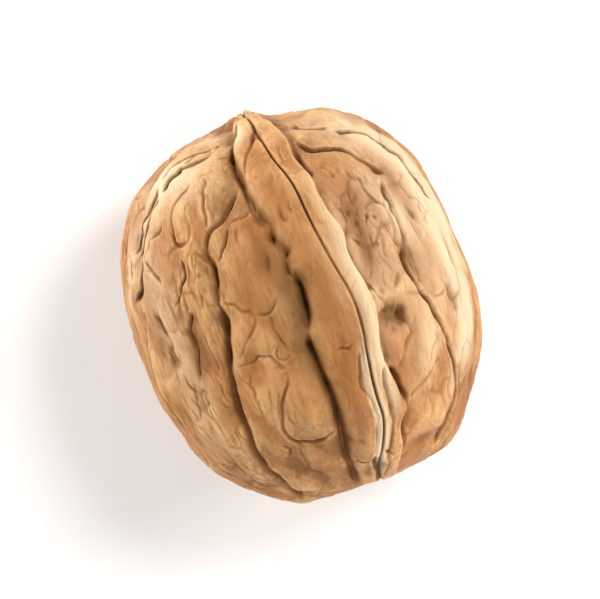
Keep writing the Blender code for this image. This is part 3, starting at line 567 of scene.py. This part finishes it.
# FURROW_BROWN and CRACK_BROWN colour painted shade in hollows, furrows and their cracked bottoms
FURROW_BROWN = (0.18, 0.066, 0.013, 1)
CRACK_BROWN = (0.03, 0.012, 0.006, 1)
TAN_AREAS = (0.35, 110, 4.0, 0.55, 0.36, 0.64)
LIGHT_SPOTS = (0.35, 300, 5.0, 0.65, 0.45, 0.68)
MOTTLING = (0.5, 900, 5.0, 0.65, 0.48, 0.7)
STREAKS = (0.14, 2600, 3.0, 0.6, 0.4, 0.75)

# The colours laid over the tan one after another, as where, colour and strength. Where is one of
# the patterns, or a field with the values at which the colour begins and is full
LAYERS = (
    (LIGHT_SPOTS, PALE_TAN, 0.5),
    (MOTTLING, DULL_BROWN, 0.52),
    # painted highlight: what stands out from its surroundings, and the broad swellings, painted paler
    (("swell", 0, 0.3), PALE_TAN, 0.55),
    # painted highlight on the crests, partly the shell's own paler crests
    (("rise", 0.004, 0.035), PALE_TAN, 0.5),
    # orange: the shell's own tone, partly painted shade
    (("warm",), ORANGE, 0.85),
    (STREAKS, DULL_BROWN, 0.48),
    # cream: the pale strips beside the seam, and the painted highlights
    (("pale",), CREAM, 1),
    # painted shade: hollows and what sinks in are painted brown
    (("swell", -0.02, -0.4), FURROW_BROWN, 0.75),
    # painted shade in the furrows, darker the deeper they are
    (("cut", 0.06, 0.9), FURROW_BROWN, 0.8),
    # olive-brown painted shade
    (("painted_shade",), OLIVE_BROWN, 0.75),
    # painted shade in the cracked bottoms of furrows, wrinkles, net and seam, partly the shell's own
    # dark lines
    (("crack", 0.05, 0.6), FURROW_BROWN, 0.75),
    (("crack", 0.5, 1), CRACK_BROWN, 0.9),
)

# The surface: scale, detail and roughness of its noises, and strength and metres of its bumps
GRAIN, FIBRES, SMALL_BUMPS = (5200, 4.0, 0.65), (3200, 3.0, 0.5), (1300, 5.0, 0.6)
FIBRE_LENGTH, FIBRE_SHARE, BUMP_LENGTH = 0.2, 1.3, 0.5
FINE_BUMP, WAVY_BUMP = (0.5, 0.00008), (0.7, 0.0003)
GRAIN_TO_ROUGHNESS, SPECULAR = (0.3, 0.7, 0.72, 0.52), 0.22


def unit(vectors):
    vectors = np.asarray(vectors, float)
    return vectors / np.linalg.norm(vectors, axis=-1, keepdims=True)


def ease(x, start, end):
    """0 before start, 1 after end, smooth in between."""
    t = np.clip((x - start) / (end - start), 0, 1)
    return t * t * (3 - 2 * t)


def value_along(y, knots):
    """A smooth curve through a few (y, value) knots, read at y."""
    places, values = np.array(knots, float).T
    slopes = np.gradient(values, places)
    y = np.clip(y, places[0], places[-1])
    i = np.clip(np.searchsorted(places, y) - 1, 0, len(places) - 2)
    gap = places[i + 1] - places[i]
    t = (y - places[i]) / gap
    late = t * t * (3 - 2 * t)
    bend = gap * (slopes[i] * t * (1 - t) ** 2 - slopes[i + 1] * t * t * (1 - t))
    return values[i] * (1 - late) + values[i + 1] * late + bend


def waves(points, seed, shortest, longest, height, stretch=1.0):
    """A smooth random field at points, mostly within twice the height."""
    draw = np.random.default_rng(seed)
    lengths = np.exp(draw.uniform(math.log(shortest), math.log(longest), WAVE_COUNT))
    ways = unit(draw.normal(size=(WAVE_COUNT, 3))) * (2 * math.pi / lengths)[:, None]
    ways[:, 1] /= stretch
    phases = draw.uniform(0, 2 * math.pi, WAVE_COUNT)
    total = np.zeros(len(points))
    for way, phase in zip(ways, phases):
        total += np.cos(points @ way + phase)
    return height * math.sqrt(2 / WAVE_COUNT) * total


def shaping(rays, place, height, reach):
    """A round swelling, or a hollow if its height is below zero, of the given reach in degrees."""
    angle = np.degrees(np.arccos(np.clip(rays @ unit(place), -1, 1)))
    return height * np.exp(-((angle / reach) ** 2))


def smooth_radius(rays):
    """The rounded body with its blunt, pointed tip and its dimpled stem end."""
    across = np.hypot(rays[:, 0] / HALF_CHEEK, rays[:, 2] / HALF_SEAM)
    along = np.abs(rays[:, 1]) / HALF_LENGTH
    radius = (across**FULLNESS + along**FULLNESS) ** (-1 / FULLNESS)
    radius += shaping(rays, TIP, *BLUNT_END) + shaping(rays, TIP, *TIP_POINT)
    radius += shaping(rays, DOME, *DOME_RISE)
    radius = radius + shaping(rays, STEM_END, *STEM_DIMPLE)
    return radius + shaping(rays, STEM_SIDE, *STEM_SIDE_RISE)


def on_body(rays):
    return rays * smooth_radius(rays)[:, None]


def wavered(points, wobbles):
    """The points moved a little at random, so that a line through them loses its evenness."""
    return points + np.column_stack([waves(points, *each) for each in wobbles])


def seen_from_above(places):
    """The points of the smooth body's upper side that stand over these (x, y) places."""
    places = np.asarray(places, float)
    aim = places.copy()
    for _ in range(4):
        girth = np.clip(1 - (np.abs(aim[:, 1]) / HALF_LENGTH) ** FULLNESS, 1e-4, None)
        left = girth ** (2 / FULLNESS) - (aim[:, 0] / HALF_CHEEK) ** 2
        height = HALF_SEAM * np.sqrt(np.clip(left, 1e-3, None))
        points = on_body(unit(np.column_stack([aim, height])))
        aim += 0.7 * (places - points[:, :2])
    return points


def from_seam(points):
    """The distance across the surface from the nearer seam, and whether it is the upper one."""
    tipwards = np.clip(points[:, 1] / TIP[1], 0, None) ** SEAM_BEND
    stemwards = np.clip(points[:, 1] / STEM_END[1], 0, None) ** SEAM_BEND
    x = points[:, 0] - tipwards * TIP[0] - stemwards * STEM_END[0]
    z = points[:, 2] - tipwards * TIP[2] - stemwards * STEM_END[2]
    longitude = np.degrees(np.arctan2(x, z))
    upper = longitude - value_along(points[:, 1], SEAM_LONGITUDE)
    under = longitude - value_along(points[:, 1], UNDER_LONGITUDE)
    under = under % 360 - 180
    is_upper = np.abs(upper) < np.abs(under)
    return np.radians(np.where(is_upper, upper, under)) * np.hypot(x, z), is_upper


def seam_ridge(points, offset, is_upper):
    """The raised band on both sides of the seam, less the crack of the seam itself."""
    y = points[:, 1]
    side = np.where(offset < 0, value_along(y, RIDGE_LEFT), value_along(y, RIDGE_RIGHT))
    width = np.where(is_upper, side, value_along(y, UNDER_RIDGE))
    distance = np.abs(offset)
    crown = 1 - CROWN * np.minimum(distance / width, CROWN_REACH) ** 2
    edge = 1 - ease(distance, width - RIDGE_SIDE[0], width + RIDGE_SIDE[1])
    height = np.where(is_upper, RIDGE_HEIGHT, UNDER_RIDGE_HEIGHT) * crown * edge
    to_stem = np.degrees(np.arccos(-unit(points)[:, 1]))
    height *= STEM_SHARE + (1 - STEM_SHARE) * ease(to_stem, *STEM_RISE)
    height *= TIP_SHARE + (1 - TIP_SHARE) * ease(180 - to_stem, *TIP_RISE)
    return height - SEAM_DEPTH * np.exp(-((distance / SEAM_WIDTH) ** 2))


def line_through(points):
    """A smooth line on the body through points, with a point every so many millimetres."""
    ends = [2 * points[0] - points[1]], [2 * points[-1] - points[-2]]
    knots = np.vstack([ends[0], points, ends[1]])
    line = []
    for before, a, b, after in zip(knots, knots[1:], knots[2:], knots[3:]):
        count = max(2, int(np.linalg.norm(b - a) / LINE_SPACING))
        t = np.arange(count)[:, None] / count
        line.append(0.5 * (
            2 * a + (b - before) * t + (2 * before - 5 * a + 4 * b - after) * t**2
            + (3 * a - before - 3 * b + after) * t**3
        ))
    return on_body(unit(np.vstack([*line, points[-1:]])))


def nearest_on(line, points):
    """Each point's distance to a line, how far along it that is, 0 to 1, and on which side."""
    squares = (points**2).sum(1)[:, None] + (line**2).sum(1) - 2 * points @ line.T
    nearest = squares.argmin(1)
    distance, place = np.full(len(points), np.inf), np.zeros(len(points))
    side = np.zeros(len(points))
    for first in (nearest - 1, nearest):
        first = np.clip(first, 0, len(line) - 2)
        start, way = line[first], line[first + 1] - line[first]
        share = np.clip(((points - start) * way).sum(1) / (way**2).sum(1), 0, 1)
        off = points - start - way * share[:, None]
        found = np.linalg.norm(off, axis=1)
        better = found < distance
        distance[better] = found[better]
        place[better] = (first + share)[better] / (len(line) - 1)
        side[better] = np.sign((np.cross(way, off) * start).sum(1))[better]
    return distance, place, side


def furrow_section(distance, width):
    """A narrow cut with wide soft shoulders, which make what lies between two furrows bulge."""
    cut = np.exp(-((distance / width) ** 2))
    wide = SHOULDER_REACH[0] + SHOULDER_REACH[1] * width
    slope = np.exp(-((distance / wide) ** 2))
    lip = np.exp(-((distance / width - LIP_PLACE) ** 2))
    return (1 - SHOULDER) * cut + SHOULDER * slope - LIP_HEIGHT * lip


def furrow(points, line, depth, width, fold):
    """The depth of one furrow and the painted shade at its bottom. It runs out at both ends."""
    reach = FURROW_REACH[0] + FURROW_REACH[1] * width
    close = np.flatnonzero(((points > line.min(0) - reach) & (points < line.max(0) + reach)).all(1))
    distance, place, side = nearest_on(line, points[close])
    length = np.linalg.norm(np.diff(line, axis=0), axis=1).sum()
    run_out = RUN_OUT[0] + RUN_OUT[1] * width
    fade = END_DEPTH + (1 - END_DEPTH) * ease(np.minimum(place, 1 - place) * length, 0, run_out)
    uneven = 1 + waves(points[close], *UNEVENNESS)
    spread = width * (END_WIDTH + (1 - END_WIDTH) * fade)
    if fold:
        spread = spread * np.where(side * fold > 0, *FOLD_SIDES)
    crack = fade * np.clip(uneven, 0, CRACK_LIMIT) * np.exp(-((distance / CRACK_WIDTH) ** 2))
    cut = depth * fade * uneven * furrow_section(distance, spread)
    return close, cut + min(1, CRACK_SHARE + depth) * CRACK_DEPTH * crack, crack


def hidden_furrows():
    """Long wandering furrows of the sides and the underside, as (depth, width, line)."""
    draw = np.random.default_rng(HIDDEN_SEED)
    for longitude in HIDDEN_LONGITUDES:
        y = np.linspace(draw.uniform(*FURROW_ENDS), -draw.uniform(*FURROW_ENDS), FURROW_POINTS)
        wander = np.cumsum(draw.normal(0, FURROW_WANDER, FURROW_POINTS))
        angle = np.radians(longitude + wander - wander.mean())
        girth = HALF_SEAM * np.sqrt(1 - (y / HALF_LENGTH) ** 2)
        points = np.column_stack([girth * np.sin(angle), y, girth * np.cos(angle)])
        yield draw.uniform(*HIDDEN_DEPTH), draw.uniform(*HIDDEN_WIDTH), line_through(points)


def all_furrows():
    """Every furrow and crease, as (depth, width, line, side of the steep wall or 0)."""
    for group, fold in (
        (FURROWS_BY_THE_RIDGE, 0), (LONG_FURROWS, 0), (SHOULDER_GROOVES, 1),
        (PLATE_EDGES, 0), (FINE_CREASES, 0),
    ):
        for depth, width, places in group:
            tilt = fold * np.sign(places[-1][0] - places[0][0])
            yield depth, width, line_through(seen_from_above(places)), tilt
    for depth, width, line in hidden_furrows():
        yield depth, width, line, 0


def plate_net(points):
    """How far each point is from the wall between two of the long plates that cover the shell."""
    stretch = np.array([1, CELL_STRETCH, 1])
    draws = on_body(unit(np.random.default_rng(NET_SEED).normal(size=(CELL_DRAWS, 3)))) * stretch
    middles = draws[:1]
    for place in draws[1:]:
        if np.linalg.norm(middles - place, axis=1).min() > CELL_GAP:
            middles = np.vstack([middles, place])
    wall = []
    for part in np.array_split(points * stretch, BATCHES):
        squares = (part**2).sum(1)[:, None] + (middles**2).sum(1) - 2 * part @ middles.T
        two = np.argpartition(squares, 1, axis=1)[:, :2]
        near, far = np.sort(np.take_along_axis(squares, two, 1), axis=1).T
        apart = np.linalg.norm(middles[two[:, 0]] - middles[two[:, 1]], axis=1)
        wall.append((far - near) / (2 * apart))
    return np.concatenate(wall)


def carving(points):
    """The depth of all furrows and creases together, and how dark the painted shade at their cracked
    bottoms is.

    Depths are added as cubes, so that a crossing isn't much deeper than its deepest furrow.
    """
    cubes, dark = np.zeros(len(points)), np.zeros(len(points))
    least, by_depth, in_fold = CRACK_DARKNESS
    for depth, width, line, fold in all_furrows():
        close, cut, crack = furrow(points, line, depth, width, fold)
        cubes[close] += cut**3
        darkness = min(1, least + by_depth * depth + in_fold * abs(fold))
        dark[close] = np.maximum(dark[close], crack * darkness)
    on_top = NET_ON_TOP * ease(np.abs(from_seam(points)[0]), *NET_BESIDE_RIDGE)
    strength = 1 - (1 - on_top) * ease(points[:, 2], *UPPER_SIDE)
    faded = np.clip(NET_SHARE + waves(points, *NET_FADING), 0, 1)
    wall = plate_net(wavered(points, NET_WOBBLES))
    crack = NET_DARKNESS * strength * faded * np.exp(-((wall / CRACK_WIDTH) ** 2))
    net = NET_DEPTH * (strength * faded * furrow_section(wall, NET_WIDTH) + NET_CRACK * crack)
    return np.cbrt(cubes + net**3), np.maximum(dark, crack)


def form(points, x, y, across, along, turn, height):
    """One hollow or swelling of the upper side, oval and turned on the surface."""
    middle = seen_from_above([(x, y)])[0]
    outward = unit(middle)
    ahead = unit(np.array([0, 1, 0]) - outward * outward[1])
    sideways = np.cross(ahead, outward)
    c, s = math.cos(math.radians(turn)), math.sin(math.radians(turn))
    u, v = (points - middle) @ sideways, (points - middle) @ ahead
    oval = ((c * u - s * v) / across) ** 2 + ((s * u + c * v) / along) ** 2
    facing = points @ outward > 0
    return height * facing * np.exp(-oval)


def patches(points, table):
    """How far each point lies in the patches of a table, 0 to 1."""
    return np.clip(sum(form(points, *each) for each in table), 0, 1)


def smooth_noise(points, size):
    return np.array([noise.noise(place) for place in (points / size).tolist()])


def fine_relief(points):
    """What only shows close up: fine wandering wrinkles, with the painted shade in their creases, and
    soft dimples.

    Each layer of wrinkles lies where a field of waves is about zero.
    """
    below = WRINKLES_BELOW * (1 - ease(points[:, 2], *BELOW))
    many = WRINKLES_ELSEWHERE + np.maximum(patches(points, WRINKLED), below)
    total, dark = np.zeros(len(points)), np.zeros(len(points))
    for seed, gap_seed, shortest, longest, depth, width, share in WRINKLES:
        broken = np.clip(waves(points, gap_seed, *WRINKLE_GAPS) + share, 0, 1)
        level = waves(points, seed, shortest, longest, 1.0, WRINKLE_STRETCH)
        crease = np.clip(broken * many, 0, 1) * np.exp(-((level / width) ** 2))
        total -= depth * crease
        dark = np.maximum(dark, WRINKLE_DARKNESS * crease)
    drawn_out = points * (1, CELL_STRETCH, 1)
    return total + DIMPLES[1] * smooth_noise(drawn_out, DIMPLES[0]), dark


def pale_strips(y, offset, is_upper):
    """Where the two pale strips beside the seam are, 0 to 1."""
    end = 1 - ease(-y, *STRIPS_END)
    left = ease(offset, *LEFT_STRIP) * ease(-y, *LEFT_STRIP_START) * end
    right = (1 - ease(offset, *RIGHT_STRIP)) * ease(-y, *RIGHT_STRIP_START) * end
    return np.where(offset < 0, left, right) * is_upper


def shell_fields(rays):
    """The finished shell's points for each direction, with the fields that colour them."""
    radius = smooth_radius(rays)
    points = rays * radius[:, None]
    wavering = wavered(points, WOBBLES)
    x, reach, height = REST_SWELL
    away = (points[:, 0] - x) ** 2 + points[:, 1] ** 2
    under = np.exp(-away / reach**2) * (points[:, 2] < 0)
    high_up = SMALLER_BELOW + (1 - SMALLER_BELOW) * ease(points[:, 2], *SMALLER_RISE)
    smaller = waves(points, *SMALLER_RELIEF, BROAD_STRETCH) * high_up
    broad = waves(points, *BROAD_RELIEF, BROAD_STRETCH) + smaller
    forms = sum(form(wavering, *each) for each in SWELLINGS + HOLLOWS)
    offset, is_upper = from_seam(points)
    cut, dark = carving(wavering)
    fine, fine_dark = fine_relief(points)
    radius = (
        radius + seam_ridge(points, offset, is_upper) - cut + forms
        + broad * (1 - CALM_UNDER * under) + height * under + fine
    )
    y = points[:, 1]
    strips = STRIP_PALENESS * pale_strips(y, offset, is_upper)
    seam = value_along(y, SEAM_DARKNESS) * np.exp(-((offset / SEAM_WIDTH) ** 2))
    return rays * radius[:, None], {
        # cut: the furrows' depth, which also sets their painted shade
        "cut": cut,
        # crack: painted shade in the bottoms of the furrows, the wrinkles, the net and the seam
        "crack": np.maximum.reduce([dark, fine_dark, seam]),
        # pale: the pale strips beside the seam, and the painted highlight patches
        "pale": np.maximum(strips, PAINTED_HIGHLIGHT_PALENESS * patches(wavering, PAINTED_HIGHLIGHTS)),
        # warm: orange tone, partly painted shade
        "warm": patches(wavering, WARM_TONE_AND_SHADE),
        # where the olive-brown painted shade patches lie
        "painted_shade": patches(wavering, PAINTED_SHADE_PATCHES),
        "broad": broad + forms,
    }


def even_sphere():
    """A cube divided into a fine grid, as a mesh, and the direction of each of its points."""
    bpy.ops.mesh.primitive_cube_add(size=2)
    cube = bpy.context.object
    grid = cube.modifiers.new("grid", "SUBSURF")
    grid.subdivision_type = "SIMPLE"
    grid.levels = grid.render_levels = GRID_LEVEL
    graph = bpy.context.evaluated_depsgraph_get()
    mesh = bpy.data.meshes.new_from_object(cube.evaluated_get(graph))
    bpy.data.objects.remove(cube)
    places = np.empty(3 * len(mesh.vertices))
    mesh.vertices.foreach_get("co", places)
    rays = unit(np.tan(places.reshape(-1, 3) * math.pi / 4))
    return mesh, unit(rays + (0, 0, GRID_PULL))


def local_height(mesh, radius, rounds):
    """How far each point stands out from the average of what is round it."""
    edges = np.empty(2 * len(mesh.edges), int)
    mesh.edges.foreach_get("vertices", edges)
    a, b = edges.reshape(-1, 2).T
    count = np.bincount(a, minlength=len(radius)) + np.bincount(b, minlength=len(radius))
    level = radius.copy()
    for _ in range(rounds):
        total = np.bincount(a, level[b], len(level)) + np.bincount(b, level[a], len(level))
        level = 0.5 * level + 0.5 * total / count
    return radius - level


def add_field(mesh, name, values):
    field = mesh.attributes.new(name, "FLOAT", "POINT")
    field.data.foreach_set("value", np.asarray(values, np.float32))


def fewer_triangles(shell):
    """Thins the mesh out where it is flat, and keeps the triangles of the creases."""
    faces = sum(len(face.vertices) - 2 for face in shell.data.polygons)
    thin = shell.modifiers.new("fewer_triangles", "DECIMATE")
    thin.ratio = TRIANGLES / faces
    graph = bpy.context.evaluated_depsgraph_get()
    mesh = bpy.data.meshes.new_from_object(shell.evaluated_get(graph))
    shell.modifiers.remove(thin)
    shell.data = mesh


def make_shell():
    """The shell, set down where the solid one lies, with its fields as attributes."""
    mesh, rays = even_sphere()
    points, fields = shell_fields(rays)
    radius = np.linalg.norm(points, axis=1)
    # rise: what stands out a little, painted paler on the crests as painted highlight
    fields["rise"] = local_height(mesh, radius, RISE_ROUNDS)
    # swell: the relief by which crests get painted highlight and hollows get painted shade
    broad = BROAD_SHARE * fields.pop("broad")
    fields["swell"] = local_height(mesh, radius, SWELL_ROUNDS) + broad
    points[:, 2] = np.maximum(points[:, 2] + REST_HEIGHT, 0)
    low, high = (np.array(corner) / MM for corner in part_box(NODE))
    points[:, :2] += (low + high)[:2] / 2 - (points.min(0) + points.max(0))[:2] / 2
    mesh.vertices.foreach_set("co", (points * MM).ravel())
    for name, values in fields.items():
        add_field(mesh, name, values)
    shell = bpy.data.objects.new("shell", mesh)
    bpy.context.scene.collection.objects.link(shell)
    fewer_triangles(shell)
    shell.data.shade_smooth()
    return shell


MAPPED = ("Value", "From Min", "From Max", "To Min", "To Max")
COLOUR_A, COLOUR_B, MIXED_COLOUR = 6, 7, 2  # the sockets for colours in a mixing node


class Nodes:
    """Adds nodes to a material. What goes into one is a value or another node's output."""

    def __init__(self, name):
        self.material = bpy.data.materials.new(name)
        self.material.use_nodes = True
        self.tree = self.material.node_tree
        self.surface = self.tree.nodes["Principled BSDF"]

    def put(self, value, socket):
        if isinstance(value, bpy.types.NodeSocket):
            self.tree.links.new(value, socket)
        else:
            socket.default_value = value

    def add(self, kind, out=0, **inputs):
        node = self.tree.nodes.new(kind)
        for key, value in inputs.items():
            self.put(value, node.inputs[key])
        return node.outputs[out]

    def math(self, operation, a, b):
        node = self.tree.nodes.new("ShaderNodeMath")
        node.operation = operation
        self.put(a, node.inputs[0])
        self.put(b, node.inputs[1])
        return node.outputs[0]

    def field(self, name, *limits):
        node = self.tree.nodes.new("ShaderNodeAttribute")
        node.attribute_name = name
        value = node.outputs["Fac"]
        return self.between(value, *limits) if limits else value

    def between(self, value, low, high, start=0.0, end=1.0):
        """Maps low to start and high to end, smoothly."""
        node = self.tree.nodes.new("ShaderNodeMapRange")
        node.interpolation_type = "SMOOTHSTEP"
        for key, each in zip(MAPPED, (value, low, high, start, end)):
            self.put(each, node.inputs[key])
        return node.outputs[0]

    def mix(self, share, a, b):
        node = self.tree.nodes.new("ShaderNodeMix")
        node.data_type = "RGBA"
        self.put(share, node.inputs["Factor"])
        self.put(a, node.inputs[COLOUR_A])
        self.put(b, node.inputs[COLOUR_B])
        return node.outputs[MIXED_COLOUR]

    def noise(self, place, scale, detail, roughness):
        kind = "ShaderNodeTexNoise"
        return self.add(kind, Vector=place, Scale=scale, Detail=detail, Roughness=roughness)

    def bump(self, height, strength, distance, **under):
        kind = "ShaderNodeBump"
        return self.add(kind, Height=height, Strength=strength, Distance=distance, **under)

    def stretched(self, place, along):
        return self.add("ShaderNodeMapping", Vector=place, Scale=(1, along, 1))

    def pattern(self, place, along, scale, detail, roughness, low, high):
        value = self.noise(self.stretched(place, along), scale, detail, roughness)
        return self.between(value, low, high)


def shell_colour(n, place):
    """Tan with warm areas and pale strips; painted highlight on crests and in patches; painted shade in
    hollows, furrows and patches, near black in cracked bottoms.
    """
    colour = n.mix(n.pattern(place, *TAN_AREAS), ORANGE, TAN)
    for where, other, strength in LAYERS:
        share = n.field(*where) if isinstance(where[0], str) else n.pattern(place, *where)
        colour = n.mix(n.math("MULTIPLY", share, strength), colour, other)
    return colour


def add_finish(n, place):
    """A dull surface with fine grain, fibres along the nut and small bumps."""
    grain = n.noise(place, *GRAIN)
    fibres = n.noise(n.stretched(place, FIBRE_LENGTH), *FIBRES)
    fine = n.math("ADD", grain, n.math("MULTIPLY", fibres, FIBRE_SHARE))
    wavy = n.bump(n.noise(n.stretched(place, BUMP_LENGTH), *SMALL_BUMPS), *WAVY_BUMP)
    n.put(n.bump(fine, *FINE_BUMP, Normal=wavy), n.surface.inputs["Normal"])
    n.put(n.between(grain, *GRAIN_TO_ROUGHNESS), n.surface.inputs["Roughness"])
    n.put(SPECULAR, n.surface.inputs["Specular IOR Level"])


def shell_material():
    n = Nodes("walnut_shell_surface")
    place = n.add("ShaderNodeTexCoord", "Object")
    n.put(shell_colour(n, place), n.surface.inputs["Base Color"])
    add_finish(n, place)
    return n.material


def make_floor():
    bpy.ops.mesh.primitive_plane_add(size=4)
    floor = bpy.context.object
    floor.name = "floor"
    n = Nodes("pale_floor")
    n.put(FLOOR_COLOUR, n.surface.inputs["Base Color"])
    n.put(FLOOR_ROUGHNESS, n.surface.inputs["Roughness"])
    n.put(FLOOR_GLOW_COLOUR, n.surface.inputs["Emission Color"])
    n.put(FLOOR_GLOW, n.surface.inputs["Emission Strength"])
    floor.data.materials.append(n.material)


def in_picture(right, up, height):
    """A place from millimetres to the right and up in the picture, and height over the floor."""
    c, s = math.cos(math.radians(TURN)), math.sin(math.radians(TURN))
    return (MM * (c * right - s * up), MM * (s * right + c * up), MM * height)


def make_lights():
    """Round soft lights that face the middle of the nut, and a faint even light from all sides."""
    middle = Vector((0, 0, REST_HEIGHT * MM))
    for name, place, width, power in LIGHTS:
        data = bpy.data.lights.new(name, "AREA")
        data.shape = "DISK"
        data.size = width * MM
        data.energy = power
        data.color = LIGHT_COLOUR
        light = bpy.data.objects.new(name, data)
        light.location = in_picture(*place)
        light.rotation_euler = (middle - light.location).to_track_quat("-Z", "Y").to_euler()
        bpy.context.scene.collection.objects.link(light)
    world = bpy.data.worlds.new("studio")
    world.use_nodes = True
    sky = world.node_tree.nodes["Background"].inputs
    sky["Color"].default_value = SKY_COLOUR
    sky["Strength"].default_value = SKY_STRENGTH
    bpy.context.scene.world = world


def make_camera():
    """Looks straight down, turned so that the tip points to the upper left."""
    data = bpy.data.cameras.new("camera")
    data.lens = LENS
    distance = FIELD * LENS / data.sensor_width
    camera = bpy.data.objects.new("camera", data)
    camera.location = in_picture(0, 0, REST_HEIGHT + distance)
    camera.rotation_euler = (0, 0, math.radians(TURN))
    bpy.context.scene.collection.objects.link(camera)
    bpy.context.scene.camera = camera


make_camera()
make_floor()
make_lights()
bpy.context.scene.view_settings.view_transform = "Standard"
shell = make_shell()
shell.data.materials.append(shell_material())
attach(shell, "root")
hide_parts(NODE)
